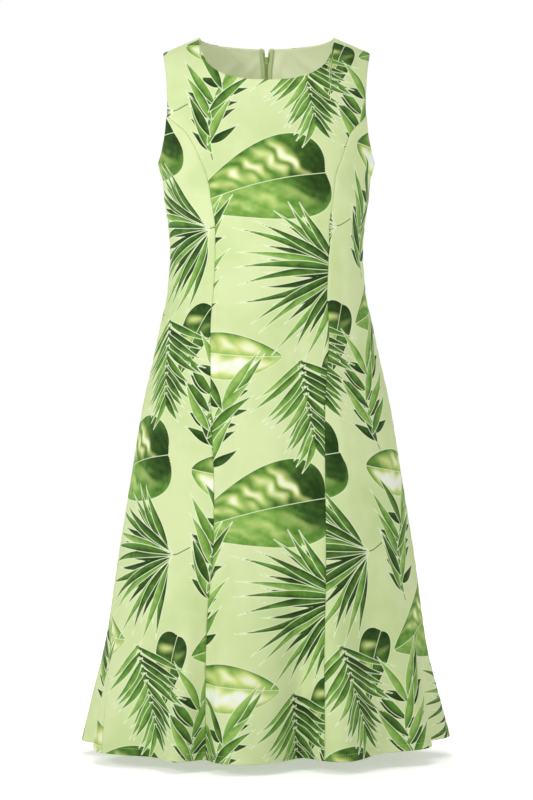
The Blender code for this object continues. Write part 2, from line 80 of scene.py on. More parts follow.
creaseTable = (  # angle, height, lean in degrees for 100 mm down, half length, half width in degrees, out
    (-33, -560, 0.4, 150, 3.6, 1.6), (-46, -700, 1.0, 190, 4.2, -2.2), (-58, -640, 0.6, 160, 4.0, 1.8),
    (-14, -620, 0.4, 170, 3.4, -1.5), (3, -690, -0.2, 210, 4.6, 1.8), (17, -600, 0.6, 150, 3.4, -1.6),
    (34, -660, 0.4, 190, 3.8, 2.0), (48, -560, -0.5, 150, 4.0, -1.8), (66, -690, -0.6, 200, 4.6, 2.0),
    (-75, -560, -0.8, 140, 4.6, -1.8), (-24, -360, 3.5, 60, 4.2, 1.1), (27, -345, -3.2, 66, 4.4, 1.2),
    (-52, -345, -7.0, 46, 5.0, 1.2), (55, -352, 6.5, 48, 5.0, 1.1), (-60, -225, 14.0, 34, 5.0, 1.5),
    (62, -222, -13.0, 34, 5.0, 1.5), (-18, -150, 9.0, 40, 5.0, 0.9), (22, -140, -9.0, 44, 5.0, 0.9),
    (100, -610, 0.8, 170, 4.6, -1.8), (113, -520, -0.6, 150, 4.4, 1.8), (128, -690, 0.4, 190, 4.6, -2.0),
    (146, -600, 0.8, 160, 4.0, 1.7), (163, -660, 0.5, 190, 3.8, -1.7), (-170, -560, 0.4, 150, 3.8, 1.6),
    (-153, -650, -0.5, 190, 4.2, -1.9), (-137, -560, 0.6, 150, 4.4, 1.8), (-119, -660, -0.4, 190, 4.6, -1.9),
    (-25, -1050, 0.3, 150, 2.2, -3.0), (-18, -1060, 0.0, 160, 2.6, 2.4), (20, -1040, 0.0, 160, 2.0, -2.8),
    (26, -1050, 0.2, 150, 2.6, 2.0), (150, -330, 9.0, 40, 6.0, 1.3), (-150, -334, -9.0, 40, 6.0, 1.3), (160, -372, 7.0, 34, 6.0, -1.2),
    (-160, -376, -7.0, 34, 6.0, -1.2), (-106, -240, -8.0, 38, 5.0, 1.3), (106, -238, 8.0, 38, 5.0, 1.3),
)


def curve(table, column=None):
    # a smooth curve through a table that never swings past its values
    keys = sorted(table)
    x = np.array(keys, float)
    y = np.array([table[k] if column is None else table[k][column] for k in keys], float)
    step, rise = np.diff(x), np.diff(y) / np.diff(x)
    slope = np.concatenate([rise[:1], (rise[1:] + rise[:-1]) / 2, rise[-1:]])
    slope[1:-1][rise[1:] * rise[:-1] <= 0] = 0
    limit = 3 * np.minimum(np.abs(np.append(rise, rise[-1])), np.abs(np.insert(rise, 0, rise[0])))
    slope = np.clip(slope, -limit, limit)

    def at(where):
        where = np.clip(where, x[0], x[-1])
        k = np.clip(np.searchsorted(x, where) - 1, 0, len(step) - 1)
        t = (where - x[k]) / step[k]
        return (y[k] * (1 + 2 * t) * (1 - t) ** 2 + y[k + 1] * t * t * (3 - 2 * t)
                + step[k] * (slope[k] * t * (1 - t) ** 2 + slope[k + 1] * t * t * (t - 1)))

    return at


halfWidth, frontDepth, backDepth, squareness, setBack = [curve(formTable, i) for i in range(5)]
frontLeft, frontRight, sideLeft, sideRight, backSeam = [curve(seamTable, i) for i in range(5)]
armholeOut, zipGap = curve(armholeTable), curve(zipTable)


def angleAt(out, z):
    share = np.clip(np.abs(out) / halfWidth(z), 0, 1)
    return np.degrees(np.arcsin(share ** (squareness(z) / 2)))


def armholeAngle(z):
    return angleAt(armholeOut(z), z)


def shoulderLine(x):
    slope = shape["shoulderDrop"] / (shape["shoulderHalf"] - shape["neckHalf"])
    return -slope * (np.abs(x) - shape["neckHalf"])


def neckLine(drop, full):
    neck = shape["neckHalf"]

    def top(x):
        inside = -drop * (1 - np.clip(np.abs(x) / neck, 0, 1) ** full) ** (1 / full)
        return np.where(np.abs(x) < neck, inside, shoulderLine(x))

    return top


def turnFrom(angle, centre):
    return (angle - centre + 180) % 360 - 180


def form(angle, z, folds=True):
    # outer face of the cloth
    s, c = np.sin(np.radians(angle)), np.cos(np.radians(angle))
    half, power = halfWidth(z), 2 / squareness(z)
    deep = np.where(c > 0, frontDepth(z), backDepth(z))
    x = half * np.sign(s) * np.abs(s) ** power
    over = np.clip((shoulderLine(x) - z) / shape["shoulderRoll"], 0, 1)
    y = setBack(z) - np.sign(c) * deep * np.sqrt(1 - (1 - over) ** 2) * np.abs(c) ** power
    across, ahead = s / half, -c / deep
    far = np.hypot(across, ahead)
    cupOut, cupHalf, cupHeight, cupWide, cupTall = shape["cup"]
    cup = np.exp(-(((np.abs(x) - cupHalf) / cupWide) ** 2) - ((z - cupHeight) / cupTall) ** 2)
    out = np.where(c > 0, cupOut * cup, 0) + 0 * z
    for centre, narrow, wide, far2, top in fluteTable:
        away = turnFrom(angle, centre)
        grown = np.clip((top - z) / (top + shape["length"]), 0, 1) ** 1.5
        out = out + far2 * grown * np.exp(-((away / np.where(away < 0, narrow, wide)) ** 2))
    if folds:
        for centre, height, lean, long, wide, far2 in creaseTable:
            away = turnFrom(angle, centre + lean * (height - z) / 100)
            out = out + far2 * np.exp(-((away / wide) ** 2) - ((z - height) / long) ** 2)
    return np.stack([x + out * across / far, y + out * ahead / far, z + 0 * x], -1)


def unit(vectors):
    return vectors / np.linalg.norm(vectors, axis=-1, keepdims=True)


def outward(angle, z):
    across = form(angle + 0.2, z) - form(angle - 0.2, z)
    return unit(np.cross(across, form(angle, z) - form(angle, z - 0.3)))


# ---- flat cloth: how far each place lies from a grain line, and how far down the cloth, along its surface

chartAngles = np.arange(-180, 540.1, 1.0)
chartHeights = np.linspace(0, -shape["length"], 196)
chartPoints = form(*np.meshgrid(chartAngles, chartHeights), folds=False)
chartAside = np.pad(np.cumsum(np.linalg.norm(np.diff(chartPoints, axis=1), axis=2), 1), ((0, 0), (1, 0)))
chartDown = np.pad(np.cumsum(np.linalg.norm(np.diff(chartPoints, axis=0), axis=2), 0), ((1, 0), (0, 0)))
waistRow = int(np.argmin(np.abs(chartHeights + 360)))
chartDown += 360 - chartDown[waistRow]


def readChart(chart, angle, z):
    row = np.clip(z / chartHeights[-1] * (len(chartHeights) - 1), 0, len(chartHeights) - 1.001)
    column = np.clip(angle - chartAngles[0], 0, len(chartAngles) - 1.001)
    i, j = row.astype(int), column.astype(int)
    p, q = row - i, column - j
    low = chart[i, j] * (1 - q) + chart[i, j + 1] * q
    return low * (1 - p) + (chart[i + 1, j] * (1 - q) + chart[i + 1, j + 1] * q) * p


# ---- cut pieces, on the same rows and columns as the solids

lowerRows = (-1167, -1130, -1085, -1030, -965, -895, -820, -745, -670, -599, -533, -480, -434, -398, -360, -325, -297,
             -269)
middle = len(lowerRows) - 1
chest = middle + 6
top = chest + 8


class Piece:
    def __init__(self, low, high, topEdge=None):
        self.low, self.high, self.topEdge = low, high, topEdge

    def angle(self, across, z):
        low, high = self.low(z), self.high(z)
        return low + (high - low) * across

    def settle(self, across, isAbove):
        low, high = np.full(np.shape(across), float(shape["underarm"])), np.zeros(np.shape(across))
        for _ in range(30):
            half = (low + high) / 2
            above = isAbove(self.angle(across, half), half)
            low, high = np.where(above, low, half), np.where(above, half, high)
        return (low + high) / 2

    def edges(self, across):
        # heights where each column meets the start of the seams or the armhole, and the neck or shoulder
        if self.topEdge is not None:
            peak = self.settle(across, lambda a, h: h > self.topEdge(form(a, h, folds=False)[..., 0]))
            return np.full(np.shape(across), float(shape["seamStart"])), peak
        chestEdge = self.settle(across, lambda a, h: np.abs(np.sin(np.radians(a))) >= np.sin(np.radians(armholeAngle(h))))
        return np.clip(chestEdge, shape["underarm"], shape["seamStart"]), None

    def height(self, across, up, edges):
        aside = np.sin(np.radians(self.angle(across, -shape["length"])))
        lift = np.where(aside > 0, shape["hemLiftLeft"], shape["hemLiftRight"]) * aside**2
        z = np.interp(up, range(len(lowerRows)), lowerRows) + lift * np.clip(1 - up / 4, 0, 1) ** 2
        chestEdge, peak = edges
        z = np.where(up > middle, shape["bust"] + (chestEdge - shape["bust"]) * (up - middle) / 6, z)
        if peak is None:
            return z
        left = np.clip((top - up) / 8, 0, 1) ** 1.6
        return np.where(up > chest, peak - (peak - chestEdge) * left, z)


def edgeOrArmhole(seam):
    return lambda z: np.where(z > shape["seamStart"], armholeAngle(z), seam(z))


def zipEdge(z):
    return angleAt(zipGap(z), z)


frontTop = neckLine(shape["frontDrop"], shape["frontFull"])
backTop = neckLine(shape["backDrop"], shape["backFull"])
leftEdge, rightEdge, backEdge = edgeOrArmhole(frontLeft), edgeOrArmhole(frontRight), edgeOrArmhole(backSeam)
pieces = {
    "front_centre": Piece(lambda z: -rightEdge(z), leftEdge, frontTop),
    "side_front_left": Piece(frontLeft, sideLeft),
    "side_back_left": Piece(sideLeft, lambda z: 180 - backSeam(z)),
    "back_left": Piece(lambda z: 180 - backEdge(z), lambda z: 180 - zipEdge(z), backTop),
    "back_right": Piece(lambda z: 180 + zipEdge(z), lambda z: 180 + backEdge(z), backTop),
    "side_back_right": Piece(lambda z: 180 + backSeam(z), lambda z: 360 - sideRight(z)),
    "side_front_right": Piece(lambda z: -sideRight(z), lambda z: -frontRight(z)),
}


# ---- the print: leaves drawn in flat cloth millimetres, aside and down

printing = {
    "line": 1.1, "soft": 0.5, "far": 30.0, "taper": 0.16, "stem": 0.75, "seed": 12, "wide": 290, "tall": 530,
    "under": 0.72,
}
layers = ("broadLow", "broadHigh", "stems", "leafUnder", "leafLow", "leafMid", "leafHigh")
motifs = (  # one repeat of the cloth: motif, node aside and down, turn clockwise from straight up, size
    ("twig", 40, 222, -4, 1.0), ("palm", 268, 125, 262, 0.95), ("blade", 5, 250, 95, 0.95), ("twig", 62, 468, 6, 1.0),
    ("frond", 205, 272, 170, 1.0), ("heart", 245, 492, 256, 1.15), ("deep", 290, 250, 200, 0.85),
)
cutAt = {  # where on the repeat each piece is cut
    "front_centre": (-150, -262), "side_front_left": (-40, -70), "side_front_right": (-215, -330),
    "side_back_left": (-120, -180), "side_back_right": (-190, -420), "back_left": (-90, -250), "back_right": (-250, -140),
}


def toward(x, y, turn, long):
    # the point some way off, turned clockwise from straight up
    return x + long * math.sin(math.radians(turn)), y - long * math.cos(math.radians(turn))


class Print:
    def __init__(self, seed):
        self.leaves, self.stems, self.random = [], [], np.random.default_rng(seed)

    def lances(self, rows, layer=None):
        # slim leaves; neighbours go to different layers, so that each keeps its pale line where they cross
        for i, (baseX, baseY, tipX, tipY, wide, low, high) in enumerate(rows):
            overX, overY = (tipX - baseX) * printing["taper"], (tipY - baseY) * printing["taper"]
            ends = (baseX - overX / 2, baseY - overY / 2, tipX + overX, tipY + overY)
            self.leaves.append(dict(ends=ends, wide=wide, tones=(low, high), bend=self.random.uniform(-0.05, 0.05),
                                    shade=self.random.choice((-1, 1)),
                                    layer=layer or ("leafLow", "leafMid", "leafHigh")[i % 3]))

    def twig(self, x, y, turn, size):
        # a bamboo twig: a bent stem with leaves left and right in turn, lighter ones over short dark ones
        knots, dark, light = [(x, y)], [], []
        for i in range(10):
            knots.append(toward(*knots[-1], turn + 5 * i - 20, 14 * size))
            for rows, open, long, low in ((dark, 62, 44, 0.0), (light, 32, 80, 0.36)):
                aim = turn + (1 if i % 2 else -1) * (open + self.random.uniform(-13, 13))
                tip = toward(*knots[-1], aim, long * size * self.random.uniform(0.85, 1.15))
                low = low * self.random.uniform(0.2, 1.5)
                rows.append((*knots[-1], *tip, 14 * size, low, low + 0.16))
        light.append((*knots[-1], *toward(*knots[-1], turn + 30, 84 * size), 14 * size, 0.5, 0.7))
        self.lances(dark, "leafUnder")
        self.lances(light)
        self.stem(knots)

    def palm(self, x, y, turn, size):
        # a palm hand: leaflets from a short rib, longest in the middle, over shorter dark ones in the gaps
        light, dark, count = [], [], 29
        for i in range(count):
            side = 2 * i / (count - 1) - 1
            base = toward(x, y, turn + 90, 22 * size * side)
            aim = turn + side * 66 + self.random.uniform(-3, 3)
            long = (172 - 62 * side * side) * size * self.random.uniform(0.86, 1.06)
            low = 0.3 + self.random.uniform(-0.22, 0.14)
            if i % 2:
                dark.append((*base, *toward(*base, aim, long * printing["under"]), 12 * size, 0.0, 0.14))
            else:
                light.append((*base, *toward(*base, aim, long), 12 * size, low, low + 0.26))
        self.lances(dark, "leafUnder")
        self.lances(light)
        self.stem([(x, y), toward(x, y, turn + 176, 22 * size), toward(x, y, turn + 168, 44 * size)])

    def frond(self, x, y, turn, size):
        # a feather of leaflets on either side of a rib
        tip = toward(x, y, turn, 125 * size)
        for side, tones in ((-1, (0.05, 0.35)), (1, (0.34, 0.6))):
            self.comb((x, y), tip, 12, (turn + 58 * side, turn + 30 * side), (92 * size, 56 * size), 10 * size, tones,
                      -0.05 * side)

    def flares(self, count, spread, strong):
        # light between the veins of half a leaf: share along and out, spread and strength
        return [(0.28 + 0.62 * i / count, 0.45, spread, strong * self.random.uniform(0.5, 1)) for i in range(count)]

    def heart(self, x, y, turn, size):
        self.broad((x, y), toward(x, y, turn, 200 * size), (
            (1, 62 * size, (0.0, 0.45, 0.3), self.flares(5, 0.05, 0.8)),
            (-1, 60 * size, (0.0, 0.6, 0.45), self.flares(3, 0.07, 0.4))), lobe=0.32, peak=0.32, lean=0.3)

    def blade(self, x, y, turn, size):
        # a broad leaf washed with yellow and white
        self.broad((x, y), toward(x, y, turn, 180 * size), (
            (-1, 38 * size, (0.3, 0.65, 0.2), self.flares(3, 0.14, 0.7)),
            (1, 42 * size, (0.4, 0.75, 0.6), self.flares(3, 0.2, 1.1))), lobe=0.12, peak=0.46)

    def deep(self, x, y, turn, size):
        self.broad((x, y), toward(x, y, turn, 140 * size), (
            (1, 40 * size, (0.0, 0.35, 0.1), self.flares(2, 0.08, 0.8)),
            (-1, 32 * size, (0.02, 0.3, 0.1), self.flares(1, 0.08, 0.4))), peak=0.35)

    def comb(self, start, end, count, turns, longs, wide=9, tones=(0.1, 0.45), bend=0.05):
        # leaflets side by side along a rib, turned clockwise from straight up
        rows = []
        for i in range(count):
            t = i / max(count - 1, 1)
            turn = math.radians(turns[0] + (turns[1] - turns[0]) * t + self.random.uniform(-4, 4))
            long = (longs[0] + (longs[1] - longs[0]) * t) * self.random.uniform(0.86, 1.08)
            x, y = start[0] + (end[0] - start[0]) * t, start[1] + (end[1] - start[1]) * t
            low = tones[0] + self.random.uniform(-0.1, 0.16)
            rows.append((x, y, x + long * math.sin(turn), y - long * math.cos(turn), wide, low,
                         low + tones[1] - tones[0] + self.random.uniform(-0.12, 0.1)))
        self.lances(rows)
        for leaf in self.leaves[-count:]:
            leaf["bend"] = bend * self.random.uniform(0.5, 1.4)

    def broad(self, base, tip, halves, lobe=0.3, peak=0.4, lean=0.15):
        # a broad leaf: each half has its side, width, tones at base, middle and rim, and flares of light
        for side, wide, tones, flares in halves:
            self.leaves.append(dict(ends=(*base, *tip), wide=wide, tones=tones, bend=0.03, side=side, flares=flares,
                                    lobe=lobe, peak=peak, lean=lean * side,
                                    layer="broadHigh" if side > 0 else "broadLow"))

    def stem(self, points):
        self.stems.append(points)


printed = Print(printing["seed"])
for motif, *place in motifs:
    getattr(printed, motif)(*place)


def bulge(t, peak, full):
    # outline of half a leaf along its rib, 0 at both ends and 1 at its widest, and its slope
    power = math.log(0.5) / math.log(peak)
    turn = np.clip(t, 1e-4, 1 - 1e-4) ** power
    wave = np.sin(math.pi * turn)
    slope = full * wave ** (full - 1) * np.cos(math.pi * turn) * math.pi * power * turn / np.clip(t, 1e-4, 1)
    return wave**full, np.clip(slope, -6, 6)


def leafField(leaf, x, y):
    # signed distance to a leaf's edge, and its tone and glow, at points in flat cloth
    baseX, baseY, tipX, tipY = leaf["ends"]
    long = math.hypot(tipX - baseX, tipY - baseY)
    ux, uy = (tipX - baseX) / long, (tipY - baseY) / long
    along, across = (x - baseX) * ux + (y - baseY) * uy, (y - baseY) * ux - (x - baseX) * uy
    ahead = np.clip(along / long, 0, 1)
    across = across - leaf["bend"] * long * 4 * ahead * (1 - ahead)
    if "side" not in leaf:
        half = leaf["wide"] / 2
        edge, slope = bulge(along / long, 0.38, 1.45)
        beyond = np.maximum(np.abs(along - long / 2) - long / 2, 0)
        depth = (np.abs(across) - half * edge) / np.sqrt(1 + (slope * half / long) ** 2)
        distance = np.where(beyond > 0, np.hypot(beyond, across), depth)
        low, high = leaf["tones"]
        side = np.clip(across / (half * edge + 0.5), -1, 1)
        tone = low + (high - low) * ahead**0.8 + 0.15 * side * leaf["shade"] + 0.1 * (0.5 - np.abs(side))
        return distance, tone, np.zeros(x.shape)
    s = across * leaf["side"]
    lobe, wide = leaf["lobe"], leaf["wide"]
    t = (along + lobe * np.maximum(s, 0)) / long
    edge, slope = bulge(t, leaf["peak"], 0.72)
    slope = slope * wide / long
    beyond = np.maximum(np.abs(t - 0.5) - 0.5, 0) * long
    depth = np.maximum(-s, (s - wide * edge) / np.sqrt((1 - lobe * slope) ** 2 + slope**2))
    distance = np.where(beyond > 0, np.hypot(beyond, s), depth)
    share = np.clip(s / (wide * edge + 1), 0, 1.2)
    base, middleTone, rim = leaf["tones"]
    tone = base + (middleTone - base) * np.clip(t / 0.45, 0, 1) ** 1.3
    tone = tone + (rim - tone) * share**4
    glow = np.zeros(x.shape)
    drift = 0.016 * np.sin(x / 7 + 1.7 * np.sin(y / 11)) + 0.012 * np.sin(y / 5.5 + 2.1 * np.sin(x / 13))
    for at, out, spread, strong in leaf["flares"]:
        aside = (t - at - leaf["lean"] * (share - out) + drift) / spread
        glow = np.maximum(glow, strong * np.exp(-(aside**2) - ((share - out + 4 * drift) / 0.42) ** 2))
    streaks = 0.03 * np.sin((t - leaf["lean"] * share) * long / 3.4 + 2 * drift)
    return distance, tone + 0.3 * glow + streaks, glow


def paintPrint(name, x, y):
    # each layer's distance, tone and glow at every point of a piece, from cloth whose repeat has a half drop
    blank = (printing["far"], 0.4, 0.0)
    fields = {layer: np.tile(blank, (len(x), 1)) for layer in layers}
    fields["stems"][:, 1] = printing["far"]
    for column in range(-2, 4):
        for row in range(-2, 5):
            paintRepeat(fields, x - cutAt[name][0] - column * printing["wide"],
                        y - cutAt[name][1] - (row + column % 2 / 2) * printing["tall"])
    return fields


def paintRepeat(fields, x, y):
    for leaf in printed.leaves:
        baseX, baseY, tipX, tipY = leaf["ends"]
        reach = leaf["wide"] * 1.3 + 10
        near = np.nonzero((x > min(baseX, tipX) - reach) & (x < max(baseX, tipX) + reach)
                          & (y > min(baseY, tipY) - reach) & (y < max(baseY, tipY) + reach))[0]
        if not len(near):
            continue
        distance, tone, glow = leafField(leaf, x[near], y[near])
        field = fields[leaf["layer"]]
        closer = distance < field[near, 0]
        field[near[closer]] = np.stack([distance, tone, glow], -1)[closer]
    for points in printed.stems:  # signed distance to the stem's line, and plain distance to the stem
        for (ax, ay), (bx, by) in zip(points[:-1], points[1:]):
            long = max(math.hypot(bx - ax, by - ay), 1e-3)
            t = np.clip(((x - ax) * (bx - ax) + (y - ay) * (by - ay)) / long**2, 0, 1)
            away = np.hypot(x - ax - (bx - ax) * t, y - ay - (by - ay) * t)
            closer = away < fields["stems"][:, 1]
            side = ((x - ax) * (by - ay) - (y - ay) * (bx - ax)) / long
            fields["stems"][closer, :2] = np.stack([side, away], -1)[closer]


# ---- materials

def linear(colour):
    # sRGB hex to linear
    values = [int(colour[i:i + 2], 16) / 255 for i in (1, 3, 5)]
    return [v / 12.92 if v <= 0.04045 else ((v + 0.055) / 1.055) ** 2.4 for v in values] + [1.0]


def addNode(tree, kind, inputs=None, **settings):
    node = tree.nodes.new(kind)
    for key, value in settings.items():
        setattr(node, key, value)
    for key, value in (inputs or {}).items():
        if isinstance(value, bpy.types.NodeSocket):
            tree.links.new(value, node.inputs[key])
        else:
            node.inputs[key].default_value = value
    return node


def newMaterial(name, roughness, sheen=0.0, shine=0.5):
    material = bpy.data.materials.new(name)
    material.use_nodes = True
    shader = material.node_tree.nodes["Principled BSDF"]
    shader.inputs["Roughness"].default_value = roughness
    shader.inputs["Sheen Weight"].default_value = sheen
    shader.inputs["Specular IOR Level"].default_value = shine
    shader.inputs["IOR"].default_value = 1.45
    return material, material.node_tree, shader


def threadBump(tree, shader, threads, strength, deep):
    # plain weave: two crossed sets of threads and uneven slubs, in cloth millimetres
    cloth = addNode(tree, "ShaderNodeUVMap", uv_map="cloth").outputs["UV"]
    heights = []
    for turn in (0, 1):
        scale = (60, 900, 1) if turn else (900, 60, 1)
        place = addNode(tree, "ShaderNodeMapping", {"Vector": cloth, "Scale": scale})
        slub = addNode(tree, "ShaderNodeTexNoise", {"Vector": place.outputs["Vector"], "Scale": threads, "Detail": 2.0})
        heights.append(slub.outputs["Fac"])
    both = addNode(tree, "ShaderNodeMath", {0: heights[0], 1: heights[1]}, operation="ADD")
    bump = addNode(tree, "ShaderNodeBump", {"Strength": strength, "Distance": deep, "Height": both.outputs[0]})
    tree.links.new(bump.outputs["Normal"], shader.inputs["Normal"])
    return both.outputs[0]


inks = {
    "ground": "#D0DDA6", "groundWash": "#C2D496", "outline": "#DEE9C0", "stem": "#4B5A33",
    "dark": "#1F3A0E", "deep": "#37561E", "mid": "#54802E", "bright": "#749F44", "light": "#9ABC62", "pale": "#BFD388",
    "yellow": "#D9E08C", "white": "#EAEFDF",
}


def fillRamp(node, stops):
    elements = node.color_ramp.elements
    while len(elements) < len(stops):
        elements.new(0.5)
    for element, (at, ink) in zip(elements, stops):
        element.position, element.color = at, linear(inks[ink])


def printedCotton(name, fade):
    # light cotton lawn, screen printed: dull cloth, soft edges of ink inside pale resist lines
    material, tree, shader = newMaterial(name, 0.85, 0.04, 0.2)
    place = addNode(tree, "ShaderNodeTexCoord").outputs["Object"]
    wash = addNode(tree, "ShaderNodeTexNoise", {"Vector": place, "Scale": 9.0, "Detail": 3.0, "Roughness": 0.6})
    washed = addNode(tree, "ShaderNodeMapRange", {"Value": wash.outputs["Fac"], 1: 0.42, 2: 0.66})
    blot = addNode(tree, "ShaderNodeTexNoise", {"Vector": place, "Scale": 60.0, "Detail": 3.0, "Roughness": 0.55})
    colour = addNode(tree, "ShaderNodeMix", {"Factor": washed.outputs[0], "A": linear(inks["ground"]),
                     "B": linear(inks["groundWash"])}, data_type="RGBA").outputs["Result"]
    for layer in layers:
        field = addNode(tree, "ShaderNodeAttribute", attribute_name=layer, attribute_type="GEOMETRY")
        parts = addNode(tree, "ShaderNodeSeparateXYZ", {0: field.outputs["Vector"]})
        inside = addNode(tree, "ShaderNodeMapRange", {"Value": parts.outputs["X"], 1: printing["soft"],
                         2: -printing["soft"]}).outputs[0]
        if layer == "stems":
            ink = linear(inks["stem"])
            side = addNode(tree, "ShaderNodeMath", {0: parts.outputs["X"]}, operation="ABSOLUTE").outputs[0]
            slim = addNode(tree, "ShaderNodeMapRange", {"Value": side, 1: printing["stem"] + printing["soft"],
                           2: printing["stem"] - printing["soft"]}).outputs[0]
            near = addNode(tree, "ShaderNodeMapRange", {"Value": parts.outputs["Y"], 1: 3.4, 2: 2.4}).outputs[0]
            inside = addNode(tree, "ShaderNodeMath", {0: slim, 1: near}, operation="MULTIPLY").outputs[0]
        else:
            blotted = addNode(tree, "ShaderNodeMath", {0: blot.outputs["Fac"], 1: 0.5, 2: parts.outputs["Y"]},
                              operation="MULTIPLY_ADD")
            shifted = addNode(tree, "ShaderNodeMath", {0: blotted.outputs[0], 1: 0.25}, operation="SUBTRACT")
            ramp = addNode(tree, "ShaderNodeValToRGB", {"Fac": shifted.outputs[0]})
            fillRamp(ramp, ((0.0, "dark"), (0.2, "deep"), (0.38, "mid"), (0.55, "bright"), (0.74, "light"), (1.0, "pale")))
            glow = addNode(tree, "ShaderNodeValToRGB", {"Fac": parts.outputs["Z"]})
            fillRamp(glow, ((0.0, "light"), (0.4, "yellow"), (0.8, "white")))
            lit = addNode(tree, "ShaderNodeMapRange", {"Value": parts.outputs["Z"], 1: 0.08, 2: 0.6})
            ink = addNode(tree, "ShaderNodeMix", {"Factor": lit.outputs[0], "A": ramp.outputs["Color"],
                          "B": glow.outputs["Color"]}, data_type="RGBA").outputs["Result"]
            line = addNode(tree, "ShaderNodeMapRange", {"Value": parts.outputs["X"], 1: printing["line"] + printing["soft"],
                           2: printing["line"] - printing["soft"]})
            colour = addNode(tree, "ShaderNodeMix", {"Factor": line.outputs[0], "A": colour,
                             "B": linear(inks["outline"])}, data_type="RGBA").outputs["Result"]
        colour = addNode(tree, "ShaderNodeMix", {"Factor": inside, "A": colour, "B": ink},
                         data_type="RGBA").outputs["Result"]
    if fade:
        colour = addNode(tree, "ShaderNodeMix", {"Factor": fade, "A": colour, "B": linear(inks["ground"])},
                         data_type="RGBA").outputs["Result"]
    tree.links.new(colour, shader.inputs["Base Color"])
    threadBump(tree, shader, 1.0, 0.25, 0.0004)
    return material


def plainLining(name, colour, shade, roughness):
    # lightweight plain weave lining and tape: one dyed colour, a little uneven, which for the lining is also lightened
    # as painted light
    material, tree, shader = newMaterial(name, roughness, 0.1)
    place = addNode(tree, "ShaderNodeTexCoord").outputs["Object"]
    cloud = addNode(tree, "ShaderNodeTexNoise", {"Vector": place, "Scale": 26.0, "Detail": 4.0})
    tint = addNode(tree, "ShaderNodeMix", {"Factor": cloud.outputs["Fac"], "A": linear(colour), "B": linear(shade)},
                   data_type="RGBA")
    tree.links.new(tint.outputs["Result"], shader.inputs["Base Color"])
    threadBump(tree, shader, 1.0, 0.3, 0.0004)
    return material


def enamelledZinc(name):
    # die-cast zip metal, dyed to match: smooth enamel, a little uneven
    material, tree, shader = newMaterial(name, 0.32)
    shader.inputs["Metallic"].default_value = 0.35
    place = addNode(tree, "ShaderNodeTexCoord").outputs["Object"]
    cloud = addNode(tree, "ShaderNodeTexNoise", {"Vector": place, "Scale": 900.0, "Detail": 3.0})
    tint = addNode(tree, "ShaderNodeMix", {"Factor": cloud.outputs["Fac"], "A": linear("#B4C67C"),
                   "B": linear("#C3D38F")}, data_type="RGBA")
    tree.links.new(tint.outputs["Result"], shader.inputs["Base Color"])
    return material


def dyedNylon(name, colour, shade, roughness, scale):
    # coil and sewing thread: one dyed colour, smooth filament
    material, tree, shader = newMaterial(name, roughness)
    shader.inputs["IOR"].default_value = 1.53
    place = addNode(tree, "ShaderNodeTexCoord").outputs["Object"]
    cloud = addNode(tree, "ShaderNodeTexNoise", {"Vector": place, "Scale": scale, "Detail": 2.0})
    tint = addNode(tree, "ShaderNodeMix", {"Factor": cloud.outputs["Fac"], "A": linear(colour), "B": linear(shade)},
                   data_type="RGBA")
    tree.links.new(tint.outputs["Result"], shader.inputs["Base Color"])
    return material


cotton = printedCotton("printed_cotton_lawn", 0.0)
cottonInside = printedCotton("printed_cotton_wrong_side", 0.55)
# the lining's pale green is partly painted light: lightened past its dye to stand in for light reaching the inside of
# the back neck
lining = plainLining("plain_green_lining", "#F6FBD6", "#EEF5C8", 0.8)
tapeWeave = plainLining("woven_zip_tape", "#C9D8A0", "#BECF92", 0.8)
zinc = enamelledZinc("enamelled_zip_zinc")
nylon = dyedNylon("dyed_nylon_coil", "#9AAD68", "#8DA05B", 0.4, 700.0)
threadMaterial = dyedNylon("polyester_thread", "#C8D79E", "#B9CA8C", 0.6, 400.0)
print("materials made")


# ---- cloth pieces

cloth = {"step": 2.4, "coarse": 3, "thick": 1.0, "inset": 0.15, "seamDip": 1.1,
         "seamWide": 2.2, "pucker": 0.35}
spans = [lowerRows[i + 1] - lowerRows[i] for i in range(middle)] + [22] * 6 + [24, 23, 21, 18, 15, 12, 9, 5]


def inThrees(marks):
    # the same marks, resampled so that every third one falls on both ends
    count = cloth["coarse"] * max(2, round((len(marks) - 1) / cloth["coarse"]))
    return np.interp(np.linspace(0, len(marks) - 1, count + 1), range(len(marks)), marks)


def spacedRows(step, first, last):
    # rows about a step apart, as fractions of the solid's rows
    marks = [first]
    for i in range(first, last):
        count = max(1, round(spans[i] / step))
        marks += [i + (k + 1) / count for k in range(count)]
    return inThrees(marks)


def spacedColumns(piece, step, heights=(-1167.0, -900.0, -600.0, -300.0, -160.0)):
    z = np.array(heights)
    width = np.max(readChart(chartAside, piece.high(z), z) - readChart(chartAside, piece.low(z), z))
    return inThrees(np.linspace(0, 1, round(float(width) / step) + 1))


def layOut(name, u, v, depth):
    # where points of a piece lie, some depth under its outer face, and their places in flat cloth
    piece = pieces[name]
    columns, which = np.unique(u, return_inverse=True)
    chestEdge, peak = piece.edges(columns)
    z = piece.height(u, v, (chestEdge[which], None if peak is None else peak[which]))
    angle = piece.angle(u, z)
    aside, down = readChart(chartAside, angle, z), readChart(chartDown, angle, z)
    low, high = readChart(chartAside, piece.low(z), z), readChart(chartAside, piece.high(z), z)
    fromEdge = np.minimum(aside - low, high - aside)
    dip = cloth["seamDip"] * np.exp(-((fromEdge / cloth["seamWide"]) ** 2))
    wave = np.sin(down / 4.1 + 2 * np.sin(down / 37)) * np.clip(fromEdge / 3, 0, 1)
    pucker = cloth["pucker"] * np.exp(-fromEdge / 14) * wave
    along = unit(form(angle + 0.2, z) - form(angle - 0.2, z))
    at = form(angle, z) + (cloth["inset"] * (1 - 2 * u))[:, None] * along
    at = at - (depth + dip + pucker)[:, None] * outward(angle, z)
    centre = (piece.low(z) + piece.high(z)) / 2 if name != "front_centre" else 0 * z
    return at, aside - readChart(chartAside, centre, z), down


